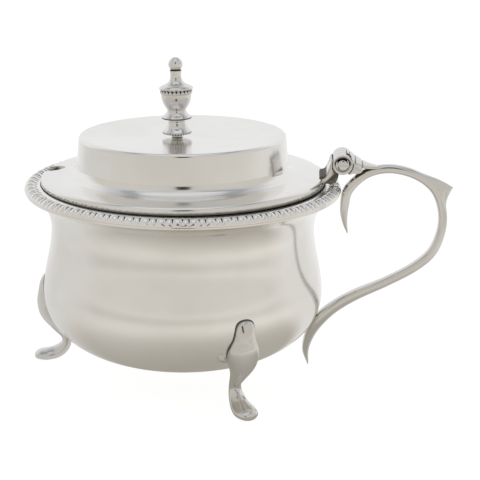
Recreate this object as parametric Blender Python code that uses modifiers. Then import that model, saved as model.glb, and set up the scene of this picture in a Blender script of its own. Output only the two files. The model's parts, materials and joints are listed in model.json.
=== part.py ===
"""A small lidded silver pot on three feet, with a hinged lid, a scroll handle and a glass liner.

Metres, +Z up. The feet stand on Z = 0 and the handle points along +X. The origin is the centre of the
footprint, so the pot's own axis lies at POT_AXIS_X; every piece is modelled round that axis, as the
child of an empty that stands on it.
"""

import math

import bmesh
import bpy
from mathutils import Matrix, Vector

MM = 0.001

# Driving dimensions
RIM_RADIUS = 39.0 * MM
BELLY_RADIUS = 35.1 * MM
NECK_RADIUS = 32.7 * MM
BELLY_HEIGHT = 21.2 * MM
NECK_HEIGHT = 37.8 * MM
LIP_HEIGHT = 47.5 * MM
BASE_HEIGHT = 5.5 * MM
SHEET = 0.8 * MM
GAP = 0.3 * MM

# The handle's reach past the rim moves the pot's axis off the centre of the footprint
HANDLE_REACH = 66.1 * MM
POT_AXIS_X = -(HANDLE_REACH - RIM_RADIUS) / 2.0

# Pot body
BASE_FLAT_RADIUS = 11.9 * MM
BASE_FULLNESS = 2.15
LIP_RADIUS = RIM_RADIUS - 0.2 * MM

# Gadrooned rim mount
LEDGE_HEIGHT = LIP_HEIGHT + 1.3 * MM
LEDGE_INNER_RADIUS = 34.0 * MM
STRIP_RADIUS = 36.0 * MM
LOBE_PAIRS = 66
LOBE_RISE = 0.35 * MM

# Glass liner
LINER_RADIUS = 30.6 * MM
LINER_LIP_RADIUS = 32.8 * MM
LINER_WALL = 1.8 * MM
LINER_FOOT_RADIUS = 12.0 * MM
LINER_CORNER = 15.0 * MM
LINER_TOP = LIP_HEIGHT - 1.5 * MM

# Lid
LID_RADIUS = 35.0 * MM
LID_EDGE_HEIGHT = LEDGE_HEIGHT + GAP + SHEET
LID_TOP_HEIGHT = 60.3 * MM
LID_DISH = 1.0 * MM
LID_CENTRE_HEIGHT = LID_TOP_HEIGHT - LID_DISH
LID_TILT = math.radians(-0.6)
LID_SEAT = Vector((-LID_RADIUS, 0.0, LEDGE_HEIGHT + GAP))
DRUM_RADIUS = 25.4 * MM
DRUM_FOOT_RADIUS = 26.2 * MM
DRUM_CORNER = 1.2 * MM
FLANGE_INNER_RADIUS = 28.8 * MM
FLANGE_RISE = 1.0 * MM
NOTCH_ANGLE = math.radians(177)
NOTCH_HALF_WIDTH = 2.6 * MM
NOTCH_DEPTH = 5.0 * MM
BEZEL_RADIUS = 33.4 * MM
BEZEL_WALL = 0.8 * MM
BEZEL_DEPTH = 2.0 * MM

# Finial
FINIAL_OFFSET = -1.25 * MM
FINIAL_LEAN = math.radians(-0.8)
COLLAR_HEIGHT = 1.2 * MM
COLLAR_RADIUS = 1.4 * MM
STUD_RADIUS = 0.7 * MM
STUD_BORE = 1.0 * MM
STUD_TOP = 3.0 * MM
NUT_RADIUS = 2.2 * MM
NUT_THICKNESS = 1.4 * MM
WASHER_RADIUS = 3.0 * MM
WASHER_THICKNESS = 0.5 * MM
STUD_TAIL = 0.6 * MM

# Hinge
PIVOT = Vector((39.0, 0.0, 54.6)) * MM
BARREL_RADIUS = 2.4 * MM
BARREL_BORE = 1.65 * MM
PIN_RADIUS = 1.4 * MM
PIN_HEAD = 0.4 * MM
BARREL_LENGTH = 10.0 * MM
KNUCKLE_NAMES = (
    "handle_knuckle_near",
    "lid_knuckle_near",
    "handle_knuckle_middle",
    "lid_knuckle_far",
    "handle_knuckle_far",
)

# Handle
HANDLE_RADIUS = 1.15 * MM
HANDLE_WIDTH_RATIO = 1.25

# Legs
LEG_ANGLES = {"leg_front": -60, "leg_left": 180, "leg_back": 60}

TURNED_STEPS = 44
SMALL_STEPS = 20


# ---------------------------------------------------------------- scene helpers


def clear_scene():
    for thing in list(bpy.data.objects):
        bpy.data.objects.remove(thing, do_unlink=True)


def new_collection(name):
    collection = bpy.data.collections.new(name)
    bpy.context.scene.collection.children.link(collection)
    return collection


def metal(name, colour, roughness, metallic=1.0):
    material = bpy.data.materials.new(name)
    material.use_nodes = True
    shader = material.node_tree.nodes["Principled BSDF"]
    shader.inputs["Base Color"].default_value = (*colour, 1.0)
    shader.inputs["Roughness"].default_value = roughness
    shader.inputs["Metallic"].default_value = metallic
    return material


def add_empty(name, location, parent=None):
    empty = bpy.data.objects.new(name, None)
    POT.objects.link(empty)
    empty.location = location
    empty.parent = parent
    return empty


def add_object(name, data, collection, material=None, parent=None):
    """Adds an object that stands on the pot's axis unless it is given another parent."""
    thing = bpy.data.objects.new(name, data)
    collection.objects.link(thing)
    if material is not None:
        data.materials.append(material)
    thing.parent = parent or POT_AXIS
    return thing


def mesh_from_bmesh(name, work):
    bmesh.ops.recalc_face_normals(work, faces=work.faces)
    mesh = bpy.data.meshes.new(name)
    work.to_mesh(mesh)
    work.free()
    return mesh


def shade_smooth(thing):
    for face in thing.data.polygons:
        face.use_smooth = True


def cutter(name, mesh):
    thing = add_object(name, mesh, CUTTERS)
    thing.hide_render = True
    thing.display_type = "WIRE"
    return thing


def boolean(thing, tool, operation="DIFFERENCE"):
    modifier = thing.modifiers.new(operation.title(), "BOOLEAN")
    modifier.operation = operation
    modifier.solver = "EXACT"
    modifier.object = tool
    return modifier


# ---------------------------------------------------------------- shape helpers


def profile_mesh(name, points):
    """An edge chain in the XZ plane, ready for a Screw modifier."""
    work = bmesh.new()
    verts = [work.verts.new((radius, 0.0, height)) for radius, height in points]
    for first, second in zip(verts, verts[1:]):
        work.edges.new((first, second))
    mesh = bpy.data.meshes.new(name)
    work.to_mesh(mesh)
    work.free()
    return mesh


def add_screw(thing, steps=TURNED_STEPS):
    screw = thing.modifiers.new("Screw", "SCREW")
    screw.steps = steps
    screw.render_steps = steps
    screw.use_merge_vertices = True
    screw.merge_threshold = 0.00001
    return screw


def turned(name, points, material, steps=TURNED_STEPS, parent=None):
    """A solid of revolution; points run down the outer side from the top to the bottom."""
    thing = add_object(name, profile_mesh(name, points), POT, material, parent)
    add_screw(thing, steps)
    thing.modifiers["Screw"].use_smooth_shade = True
    return thing


def turned_shell(name, points, material, thickness=SHEET):
    """A turned sheet: the points run down its outer side and the thickness goes inwards."""
    thing = turned(name, points, material)
    solid = thing.modifiers.new("Solidify", "SOLIDIFY")
    solid.thickness = thickness
    solid.offset = -1.0
    solid.use_even_offset = True
    return thing


def cylinder_mesh(name, radius, depth, segments=SMALL_STEPS, axis="Z"):
    work = bmesh.new()
    bmesh.ops.create_cone(
        work, cap_ends=True, segments=segments, radius1=radius, radius2=radius, depth=depth
    )
    if axis == "Y":
        bmesh.ops.rotate(work, verts=work.verts, matrix=Matrix.Rotation(math.radians(90), 3, "X"))
    return mesh_from_bmesh(name, work)


def ring_points(inner, outer, bottom, top):
    """A closed rectangle in the XZ plane, for rings, washers and tubes."""
    return [(inner, top), (outer, top), (outer, bottom), (inner, bottom), (inner, top)]


def arc(centre_x, centre_z, radius_x, radius_z, start, end, count):
    """Points along an elliptical arc, angles in degrees."""
    points = []
    for index in range(count + 1):
        angle = math.radians(start + (end - start) * index / count)
        points.append((centre_x + radius_x * math.cos(angle), centre_z + radius_z * math.sin(angle)))
    return points


def loft(name, rings, cap_start=True, cap_end=True):
    """A closed solid through rings of the same number of points."""
    work = bmesh.new()
    loops = [[work.verts.new(point) for point in ring] for ring in rings]
    for near, far in zip(loops, loops[1:]):
        for index in range(len(near)):
            after = (index + 1) % len(near)
            work.faces.new((near[index], near[after], far[after], far[index]))
    if cap_start:
        work.faces.new(list(reversed(loops[0])))
    if cap_end:
        work.faces.new(loops[-1])
    return mesh_from_bmesh(name, work)


def extruded_outline(name, points, half_width):
    """A plate whose outline lies in the XZ plane and whose thickness runs along Y."""
    curve = bpy.data.curves.new(name, "CURVE")
    curve.dimensions = "2D"
    curve.fill_mode = "BOTH"
    curve.extrude = half_width
    spline = curve.splines.new("POLY")
    spline.points.add(len(points) - 1)
    for point, (x, z) in zip(spline.points, points):
        point.co = (x, z, 0.0, 1.0)
    spline.use_cyclic_u = True
    return mesh_from_curve(name, curve, Matrix.Rotation(math.radians(90), 4, "X"))


def mesh_from_curve(name, curve, transform):
    """Turns a curve into a welded mesh and removes the curve."""
    holder = bpy.data.objects.new(name + "_curve", curve)
    bpy.context.scene.collection.objects.link(holder)
    bpy.context.view_layer.update()
    evaluated = holder.evaluated_get(bpy.context.evaluated_depsgraph_get())
    mesh = bpy.data.meshes.new_from_object(evaluated)
    bpy.data.objects.remove(holder, do_unlink=True)
    bpy.data.curves.remove(curve)
    work = bmesh.new()
    work.from_mesh(mesh)
    bmesh.ops.remove_doubles(work, verts=work.verts, dist=0.00001)
    bmesh.ops.transform(work, verts=work.verts, matrix=transform)
    bpy.data.meshes.remove(mesh)
    return mesh_from_bmesh(name, work)


# ---------------------------------------------------------------- pot body, rim and liner


def belly_points():
    """The pot's outer side from the lip down to the centre of its base."""
    flare_height = LIP_HEIGHT - SHEET - NECK_HEIGHT
    flare = arc(LIP_RADIUS, NECK_HEIGHT, LIP_RADIUS - NECK_RADIUS, flare_height, 90, 180, 6)
    shoulder = []
    shoulder_steps = 5
    for index in range(1, shoulder_steps + 1):
        part = index / shoulder_steps
        blend = part * part * (3.0 - 2.0 * part)
        radius = NECK_RADIUS + (BELLY_RADIUS - NECK_RADIUS) * blend
        shoulder.append((radius, NECK_HEIGHT + (BELLY_HEIGHT - NECK_HEIGHT) * part))
    base = []
    base_steps = 9
    for index in range(1, base_steps + 1):
        angle = math.radians(90.0 * index / base_steps)
        across = max(math.cos(angle), 0.0) ** (2.0 / BASE_FULLNESS)
        down = math.sin(angle) ** (2.0 / BASE_FULLNESS)
        radius = BASE_FLAT_RADIUS + (BELLY_RADIUS - BASE_FLAT_RADIUS) * across
        base.append((radius, BELLY_HEIGHT - (BELLY_HEIGHT - BASE_HEIGHT) * down))
    return flare + shoulder + base + [(0.0, BASE_HEIGHT)]


def rim_envelope(grow):
    """The pot and rim as one solid, grown outwards, to trim what is soldered on them."""
    top = LEDGE_HEIGHT + LOBE_RISE + grow
    outer = [(0.0, top), (RIM_RADIUS + grow, top)]
    outer.append((RIM_RADIUS + grow, LIP_HEIGHT - SHEET - grow))
    for radius, height in belly_points()[2:-1]:
        outer.append((radius + grow, height - grow * (height < BELLY_HEIGHT)))
    outer.append((0.0, BASE_HEIGHT - grow))
    return outer


def build_pot():
    return turned_shell("pot_body", belly_points(), SILVER)


def rim_section(rise):
    """One section of the rim mount, running round its edge; rise lifts the gadroon's crest."""
    strip_top = LEDGE_HEIGHT
    underside = LIP_HEIGHT + GAP
    return [
        (LEDGE_INNER_RADIUS, underside),
        (LEDGE_INNER_RADIUS, strip_top),
        (STRIP_RADIUS, strip_top),
        (STRIP_RADIUS + 0.5 * MM, strip_top + rise),
        (STRIP_RADIUS + 1.6 * MM, strip_top - 0.1 * MM + rise),
        (RIM_RADIUS - 0.5 * MM, strip_top - 0.8 * MM + rise),
        (RIM_RADIUS, underside + 0.25 * MM),
        (RIM_RADIUS, underside),
    ]


def build_rim():
    count = LOBE_PAIRS * 2
    rings = []
    for index in range(count + 1):
        rise = LOBE_RISE * (index % 2)
        turn = 2.0 * math.pi * (index % count) / count
        rings.append(
            [(r * math.cos(turn), r * math.sin(turn), z) for r, z in rim_section(rise)]
        )
    mesh = loft("rim_mount", rings, cap_start=False, cap_end=False)
    work = bmesh.new()
    work.from_mesh(mesh)
    bmesh.ops.remove_doubles(work, verts=work.verts, dist=0.000001)
    bpy.data.meshes.remove(mesh)
    return add_object("rim_mount", mesh_from_bmesh("rim_mount", work), POT, SILVER)


def build_liner():
    floor = BASE_HEIGHT + SHEET + GAP
    outside = [(LINER_LIP_RADIUS, LINER_TOP), (LINER_LIP_RADIUS, LINER_TOP - 1.2 * MM)]
    outside.append((LINER_RADIUS, LINER_TOP - 3.6 * MM))
    outside += arc(
        LINER_FOOT_RADIUS, floor + LINER_CORNER, LINER_RADIUS - LINER_FOOT_RADIUS,
        LINER_CORNER, 0, -90, 5,
    )
    outside.append((0.0, floor))
    inside = [(0.0, floor + LINER_WALL)]
    inside += arc(
        LINER_FOOT_RADIUS, floor + LINER_CORNER, LINER_RADIUS - LINER_FOOT_RADIUS - LINER_WALL,
        LINER_CORNER - LINER_WALL, -90, 0, 5,
    )
    inside.append((LINER_RADIUS - LINER_WALL, LINER_TOP - 3.6 * MM))
    inside.append((LINER_LIP_RADIUS - LINER_WALL, LINER_TOP))
    return turned("glass_liner", inside + outside, GLASS)


# ---------------------------------------------------------------- legs


def leg_stations():
    """Centre, half-width, half-depth and lean of the leg's sections, knee to toe.

    The first two values are the distance from the pot's axis and the height, and the last is the
    direction of travel in degrees, where -90 points straight down and 0 points outwards.
    """
    return [
        (33.4, 24.3, 1.0, 0.6, -80),
        (33.7, 23.2, 2.3, 1.7, -80),
        (34.0, 20.4, 3.2, 3.0, -85),
        (34.1, 16.4, 3.9, 3.7, -92),
        (33.7, 12.8, 3.4, 3.3, -105),
        (32.0, 9.2, 2.15, 2.2, -118),
        (30.2, 5.8, 1.55, 1.15, -100),
        (30.8, 3.6, 1.9, 1.4, -60),
        (32.8, 1.8, 2.4, 1.6, -28),
        (35.6, 1.15, 2.9, 1.6, -10),
        (37.6, 1.05, 2.5, 1.35, -6),
        (38.8, 1.05, 1.3, 0.8, 0),
    ]


def build_leg(name, degrees):
    sides = 16
    rings = []
    for reach, height, half_width, half_depth, travel in leg_stations():
        angle = math.radians(travel + 90.0)
        across = Vector((math.cos(angle), 0.0, math.sin(angle)))
        centre = Vector((reach, 0.0, height)) * MM
        ring = []
        for side in range(sides):
            turn = 2.0 * math.pi * side / sides
            point = centre + across * (half_depth * MM * math.cos(turn))
            point.y += half_width * MM * math.sin(turn)
            point.z = max(point.z, 0.0)
            ring.append(point)
        rings.append(ring)
    leg = add_object(name, loft(name, rings), POT, SILVER)
    leg.rotation_euler.z = math.radians(degrees)
    shade_smooth(leg)
    boolean(leg, ENVELOPE)
    return leg


# ---------------------------------------------------------------- handle


def tube_along(name, points, grow=0.0):
    """A tapering rod in the XZ plane; each point is (x, z, radius in parts of the full radius)."""
    curve = bpy.data.curves.new(name, "CURVE")
    curve.dimensions = "3D"
    curve.bevel_depth = 1.0
    curve.bevel_resolution = 2
    curve.resolution_u = 5
    curve.use_fill_caps = True
    spline = curve.splines.new("BEZIER")
    spline.bezier_points.add(len(points) - 1)
    for knot, (x, z, part) in zip(spline.bezier_points, points):
        knot.co = (x * MM, 0.0, z * MM)
        knot.handle_left_type = "AUTO"
        knot.handle_right_type = "AUTO"
        knot.radius = HANDLE_RADIUS * part + grow
    widen = Matrix.Diagonal((1.0, HANDLE_WIDTH_RATIO, 1.0, 1.0))
    return mesh_from_curve(name, curve, widen)


def scroll_points():
    """The handle's centre line from the tip of its upper tail to the tip of its lower tail."""
    return [
        (40.9, 36.4, 0.2),
        (40.1, 39.6, 0.65),
        (39.9, 43.0, 1.0),
        (40.8, 47.6, 1.1),
        (45.0, 51.6, 1.0),
        (50.6, 52.9, 0.95),
        (56.6, 51.6, 0.95),
        (61.2, 48.4, 1.1),
        (63.4, 43.6, 0.95),
        (63.7, 38.2, 0.95),
        (61.8, 32.4, 1.0),
        (57.6, 28.2, 1.0),
        (51.0, 24.2, 1.0),
        (43.4, 20.4, 1.15),
        (38.0, 16.8, 1.25),
        (34.2, 12.9, 1.4),
        (32.3, 9.2, 1.1),
        (31.5, 5.4, 0.75),
        (32.2, 1.4, 0.2),
    ]


def thorn_points():
    """The thorn on the outside of the scroll."""
    return [
        (58.4, 50.6, 0.8),
        (61.6, 49.4, 0.95),
        (63.9, 48.5, 0.6),
        (66.1, 48.2, 0.1),
    ]


def build_handle():
    handle = add_object("handle", tube_along("handle", scroll_points()), POT, SILVER)
    shade_smooth(handle)
    thorn = cutter("thorn_tool", tube_along("thorn_tool", thorn_points()))
    boolean(handle, thorn, "UNION")
    boolean(handle, ENVELOPE)
    return handle


# ---------------------------------------------------------------- hinge


def around_pivot(angle, radius):
    turn = math.radians(angle)
    return (PIVOT.x + radius * math.cos(turn), PIVOT.z + radius * math.sin(turn))


def from_pivot(*points):
    """Points given in mm from the hinge's axis."""
    return [(PIVOT.x + x * MM, PIVOT.z + z * MM) for x, z in points]


def bracket_points():
    """The block behind the barrel: a channel round the barrel that ends in a rounded lobe below."""
    channel = [around_pivot(angle, BARREL_RADIUS + GAP) for angle in range(-60, 1, 15)]
    lobe = from_pivot(
        (3.4, -0.1), (4.6, -0.9), (4.8, -1.4), (4.3, -1.9), (3.4, -2.1), (2.4, -2.0), (1.9, -2.3)
    )
    return channel + lobe


def build_bracket(handle_room):
    mesh = extruded_outline("hinge_bracket", bracket_points(), BARREL_LENGTH / 2.0)
    bracket = add_object("hinge_bracket", mesh, POT, SILVER)
    boolean(bracket, handle_room)


def shell_stations():
    """The strap's sections from the barrel to the handle: x and z of its crown, half-width, thickness (mm)."""
    return [
        (1.0, 2.7, 4.7, 1.4),
        (2.2, 1.95, 4.5, 1.3),
        (3.8, 0.85, 3.9, 1.2),
        (5.3, -0.1, 3.2, 1.1),
        (7.1, -0.7, 2.3, 0.9),
        (8.9, -1.05, 1.5, 0.7),
    ]


def build_shell_cap(handle_room):
    """A strap from the barrel down to the handle, crowned across and narrowing to a tip."""
    sides = 12
    droop = 0.032
    rings = []
    for x, z, half_width, thickness in shell_stations():
        upper = []
        lower = []
        for side in range(sides + 1):
            across = (2.0 * side / sides - 1.0) * half_width
            crown = z - droop * across ** 2
            upper.append(PIVOT + Vector((x, across, crown)) * MM)
            lower.append(PIVOT + Vector((x, across, crown - thickness)) * MM)
        rings.append(upper + list(reversed(lower)))
    cap = add_object("hinge_shell", loft("hinge_shell", rings), POT, SILVER)
    bracket_mesh = extruded_outline("bracket_room_tool", bracket_points(), BARREL_LENGTH)
    boolean(cap, cutter("bracket_room_tool", bracket_mesh))
    barrel_mesh = cylinder_mesh("barrel_room_tool", BARREL_RADIUS + GAP, BARREL_LENGTH * 2.0, 40, axis="Y")
    barrel_room = cutter("barrel_room_tool", barrel_mesh)
    barrel_room.location = PIVOT
    boolean(cap, barrel_room)
    boolean(cap, handle_room)


def knuckle_span(index):
    """The Y range of a knuckle, counted from the near end."""
    step = (BARREL_LENGTH + GAP) / len(KNUCKLE_NAMES)
    start = -BARREL_LENGTH / 2.0 + step * index
    return start, start + step - GAP


def build_knuckles():
    for index, name in enumerate(KNUCKLE_NAMES):
        start, end = knuckle_span(index)
        parent = LID_AXIS if name.startswith("lid") else None
        points = ring_points(BARREL_BORE, BARREL_RADIUS, -end, -start)
        knuckle = turned(name, points, SILVER, SMALL_STEPS, parent=parent)
        knuckle.rotation_euler.x = math.radians(90)
        if parent is None:
            knuckle.location = PIVOT


def build_pin():
    depth = BARREL_LENGTH + 2.0 * PIN_HEAD
    pin = add_object("hinge_pin", cylinder_mesh("hinge_pin", PIN_RADIUS, depth, axis="Y"), POT, SILVER)
    pin.location = PIVOT
    shade_smooth(pin)


# ---------------------------------------------------------------- lid


def tilt_with_lid(thing, origin=Vector()):
    """Puts a piece modelled for a level lid on the lid's slight slant; the lid rides up at its hinge."""
    thing.rotation_euler.y = LID_TILT
    thing.location = LID_SEAT - Matrix.Rotation(LID_TILT, 3, "Y") @ LID_SEAT - origin
    return thing


def on_lid(thing):
    """Parents a piece of the lid to the hinge axis, at the place it has on the slanting lid."""
    thing.parent = LID_AXIS
    return tilt_with_lid(thing, PIVOT)


def lid_points():
    """The lid's outer side from the middle of its dished top to the edge of its flange."""
    flange_inner_height = LID_EDGE_HEIGHT + FLANGE_RISE
    corner_x = DRUM_RADIUS - DRUM_CORNER
    corner_z = LID_TOP_HEIGHT - DRUM_CORNER
    crown = [(0.0, LID_CENTRE_HEIGHT), (corner_x / 2.0, LID_TOP_HEIGHT - LID_DISH / 2.0)]
    corner = arc(corner_x, corner_z, DRUM_CORNER, DRUM_CORNER, 90, 10, 4)
    cove_reach = FLANGE_INNER_RADIUS - DRUM_FOOT_RADIUS
    cove = arc(
        FLANGE_INNER_RADIUS, flange_inner_height + cove_reach, cove_reach, cove_reach, 185, 260, 4
    )
    flange = [
        ((FLANGE_INNER_RADIUS + LID_RADIUS) / 2.0, LID_EDGE_HEIGHT + FLANGE_RISE * 0.6),
        (LID_RADIUS - 0.6 * MM, LID_EDGE_HEIGHT + 0.15 * MM),
        (LID_RADIUS, LID_EDGE_HEIGHT - 0.2 * MM),
    ]
    return crown + corner + cove + flange


def notch_tool():
    """A rounded slot that cuts the spoon notch through the lid's flange and the bezel."""
    work = bmesh.new()
    reach = LID_RADIUS - NOTCH_DEPTH + NOTCH_HALF_WIDTH
    height = 8.0 * MM
    bmesh.ops.create_cone(
        work, cap_ends=True, segments=SMALL_STEPS, radius1=NOTCH_HALF_WIDTH,
        radius2=NOTCH_HALF_WIDTH, depth=height,
    )
    for vert in work.verts:
        outward = 12.0 * MM if vert.co.x > NOTCH_HALF_WIDTH * 0.01 else 0.0
        vert.co.x += reach + outward
    bmesh.ops.rotate(work, verts=work.verts, matrix=Matrix.Rotation(NOTCH_ANGLE, 3, "Z"))
    bmesh.ops.translate(work, verts=work.verts, vec=(0.0, 0.0, LEDGE_HEIGHT))
    return tilt_with_lid(cutter("notch_tool", mesh_from_bmesh("notch_tool", work)))


def build_lid(notch):
    lid = on_lid(turned_shell("lid", lid_points(), SILVER))
    boolean(lid, notch)
    hole = cutter("finial_hole_tool", cylinder_mesh("finial_hole_tool", STUD_BORE, 10.0 * MM))
    hole.parent = FINIAL_BASE
    boolean(lid, hole)
    return lid


def build_bezel(notch):
    top = LID_EDGE_HEIGHT - SHEET - GAP
    points = ring_points(BEZEL_RADIUS - BEZEL_WALL, BEZEL_RADIUS, top - BEZEL_DEPTH, top)
    bezel = on_lid(turned("lid_bezel", points, SILVER))
    boolean(bezel, notch)
    return bezel


def build_leaf():
    """The strap from the edge of the flange up to the barrel, which it hugs from below to the top left."""
    reach = BARREL_RADIUS + GAP
    points = [around_pivot(angle, reach) for angle in range(250, 164, -17)]
    points.append(around_pivot(165, reach + 0.4 * MM))
    points += from_pivot(
        (-3.15, -0.3), (-3.5, -1.6), (-4.3, -2.9), (-5.4, -3.0), (-5.4, -4.95), (-3.2, -4.95),
        (-1.5, -4.35), (-1.0, -3.2),
    )
    leaf = add_object("lid_leaf", extruded_outline("lid_leaf", points, BARREL_LENGTH / 2.0), POT, SILVER)
    leaf.parent = LID_AXIS
    leaf.location = -PIVOT
    room = tilt_with_lid(cutter("lid_room_tool", profile_mesh("lid_room_tool", lid_room_points())))
    add_screw(room)
    boolean(leaf, room)
    boolean(leaf, ENVELOPE)


def lid_room_points():
    """The lid's outer surface raised by the gap, closed below, to trim the leaf."""
    raised = [(radius, height + GAP) for radius, height in lid_points()]
    edge_radius = LID_RADIUS + GAP
    raised[-1] = (edge_radius, LID_EDGE_HEIGHT)
    return raised + [(edge_radius, LEDGE_HEIGHT - 1.0 * MM), (0.0, LEDGE_HEIGHT - 1.0 * MM)]


# ---------------------------------------------------------------- finial


def finial_points():
    """The finial's outer side, heights from the lid's surface; it starts on top of its collar."""
    foot = COLLAR_HEIGHT + GAP
    ball_radius = 1.75 * MM
    ball_height = 17.8 * MM
    points = [(0.0, ball_height + ball_radius)]
    points += arc(0.0, ball_height, ball_radius, ball_radius, 60, -40, 6)
    points += [
        (1.0 * MM, 16.55 * MM),
        (1.4 * MM, 16.4 * MM),
        (1.4 * MM, 14.6 * MM),
        (1.9 * MM, 13.75 * MM),
        (2.9 * MM, 13.15 * MM),
        (4.1 * MM, 12.6 * MM),
        (4.1 * MM, 11.85 * MM),
        (3.8 * MM, 10.6 * MM),
        (3.5 * MM, 9.05 * MM),
        (2.8 * MM, 7.65 * MM),
        (2.3 * MM, 6.6 * MM),
        (2.6 * MM, 6.0 * MM),
        (3.6 * MM, 4.9 * MM),
        (3.6 * MM, 4.5 * MM),
        (2.2 * MM, 4.1 * MM),
        (2.2 * MM, 3.6 * MM),
        (3.2 * MM, 2.5 * MM),
        (3.65 * MM, foot + 0.3 * MM),
        (3.65 * MM, foot),
        (STUD_BORE, foot),
        (STUD_BORE, STUD_TOP + GAP),
        (0.0, STUD_TOP + GAP),
    ]
    return points


def build_finial():
    turned("finial", finial_points(), SILVER, parent=FINIAL_BASE, steps=SMALL_STEPS)
    collar = ring_points(STUD_BORE, COLLAR_RADIUS, GAP / 2.0, COLLAR_HEIGHT)
    turned("finial_collar", collar, SILVER, SMALL_STEPS, parent=FINIAL_BASE)
    under = -SHEET - GAP
    washer = ring_points(STUD_BORE, WASHER_RADIUS, under - WASHER_THICKNESS, under)
    turned("finial_washer", washer, SILVER, SMALL_STEPS, parent=FINIAL_BASE)
    nut_top = under - WASHER_THICKNESS - GAP
    nut_bottom = nut_top - NUT_THICKNESS
    nut = ring_points(STUD_BORE, NUT_RADIUS, nut_bottom, nut_top)
    turned("finial_nut", nut, BRASS, 6, parent=FINIAL_BASE)
    stud_bottom = nut_bottom - STUD_TAIL
    stud = [(0.0, STUD_TOP), (STUD_RADIUS, STUD_TOP), (STUD_RADIUS, stud_bottom), (0.0, stud_bottom)]
    turned("finial_stud", stud, BRASS, SMALL_STEPS, parent=FINIAL_BASE)


# ---------------------------------------------------------------- assembly

clear_scene()
POT = new_collection("lidded_silver_pot")
CUTTERS = new_collection("cutters")
SILVER = metal("silver", (0.86, 0.85, 0.82), 0.08)
BRASS = metal("brass", (0.72, 0.54, 0.27), 0.3)
GLASS = metal("blue_glass", (0.03, 0.06, 0.35), 0.03, metallic=0.0)

POT_AXIS = add_empty("pot_axis", (POT_AXIS_X, 0.0, 0.0))
LID_AXIS = add_empty("lid_hinge_axis", PIVOT, POT_AXIS)
LID_PLANE = tilt_with_lid(add_empty("lid_plane", Vector(), LID_AXIS), PIVOT)
FINIAL_BASE = add_empty("finial_base", (FINIAL_OFFSET, 0.0, LID_CENTRE_HEIGHT), LID_PLANE)
FINIAL_BASE.rotation_euler.y = FINIAL_LEAN

ENVELOPE = cutter("envelope_tool", profile_mesh("envelope_tool", rim_envelope(GAP)))
add_screw(ENVELOPE)

build_pot()
build_rim()
build_liner()
for leg_name, leg_angle in LEG_ANGLES.items():
    build_leg(leg_name, leg_angle)
build_handle()
HANDLE_ROOM = cutter("handle_room_tool", tube_along("handle_room_tool", scroll_points(), grow=GAP))
build_bracket(HANDLE_ROOM)
build_shell_cap(HANDLE_ROOM)
build_knuckles()
build_pin()
NOTCH = notch_tool()
build_lid(NOTCH)
build_bezel(NOTCH)
build_leaf()
build_finial()
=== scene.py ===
"""Looks for the small lidded silver pot: fine meshes, polished silver, cobalt glass and a soft white studio.

Metres, +Z up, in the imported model's frame. Every fine piece is modelled round the pot's own axis and then
moved to AXIS, rides on its CAD body and stands for the CAD node that it is named after.
"""

import json
import math

import bmesh
import bpy
import numpy as np
from mathutils import Matrix, Vector


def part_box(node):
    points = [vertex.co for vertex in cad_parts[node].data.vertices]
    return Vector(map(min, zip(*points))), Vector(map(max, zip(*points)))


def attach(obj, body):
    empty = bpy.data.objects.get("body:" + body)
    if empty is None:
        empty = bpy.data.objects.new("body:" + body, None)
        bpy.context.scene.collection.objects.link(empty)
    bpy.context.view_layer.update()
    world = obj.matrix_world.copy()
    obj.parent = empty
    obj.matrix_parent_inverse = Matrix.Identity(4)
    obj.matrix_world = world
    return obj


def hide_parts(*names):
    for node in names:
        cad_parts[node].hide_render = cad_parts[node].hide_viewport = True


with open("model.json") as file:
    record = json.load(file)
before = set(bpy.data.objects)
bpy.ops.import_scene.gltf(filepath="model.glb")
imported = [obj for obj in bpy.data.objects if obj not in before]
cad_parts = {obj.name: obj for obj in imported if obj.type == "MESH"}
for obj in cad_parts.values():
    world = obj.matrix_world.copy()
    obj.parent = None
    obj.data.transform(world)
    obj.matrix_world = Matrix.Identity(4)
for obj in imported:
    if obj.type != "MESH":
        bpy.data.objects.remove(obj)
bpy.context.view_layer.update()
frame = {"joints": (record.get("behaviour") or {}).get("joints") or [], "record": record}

MM = 0.001
TURN = 2.0 * math.pi


def node_size(node):
    low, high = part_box(node)
    return low, high, (high - low) / 2.0


# Driving dimensions, read from the frame
pot_low, pot_high, pot_half = node_size("pot_body")
rim_high, rim_half = node_size("rim_mount")[1:]
AXIS = Vector(((pot_low.x + pot_high.x) / 2.0, 0.0, 0.0))
PIVOT = Vector(frame["joints"][0]["pos_m"]) - AXIS
RIM_RADIUS = rim_half.y
RIM_TOP_HEIGHT = rim_high.z
LIP_RADIUS = pot_half.y
LIP_HEIGHT = pot_high.z
BASE_HEIGHT = pot_low.z
LID_TOP_HEIGHT = LIP_HEIGHT + 12.8 * MM
LID_CENTRE_HEIGHT = LID_TOP_HEIGHT - 1.0 * MM
LID_RADIUS = LIP_RADIUS - 3.8 * MM
LEDGE_HEIGHT = LIP_HEIGHT + 1.3 * MM
LID_EDGE_HEIGHT = LEDGE_HEIGHT + 1.1 * MM

# The closed lid slants a little: it rests on its left edge and rides up at the hinge
LID_SEAT = Vector((-LID_RADIUS, 0.0, LEDGE_HEIGHT + 0.3 * MM))
LID_TILT = math.radians(-0.6)
LID_SLANT = Matrix.Translation(LID_SEAT) @ Matrix.Rotation(LID_TILT, 4, "Y") @ Matrix.Translation(-LID_SEAT)

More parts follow.
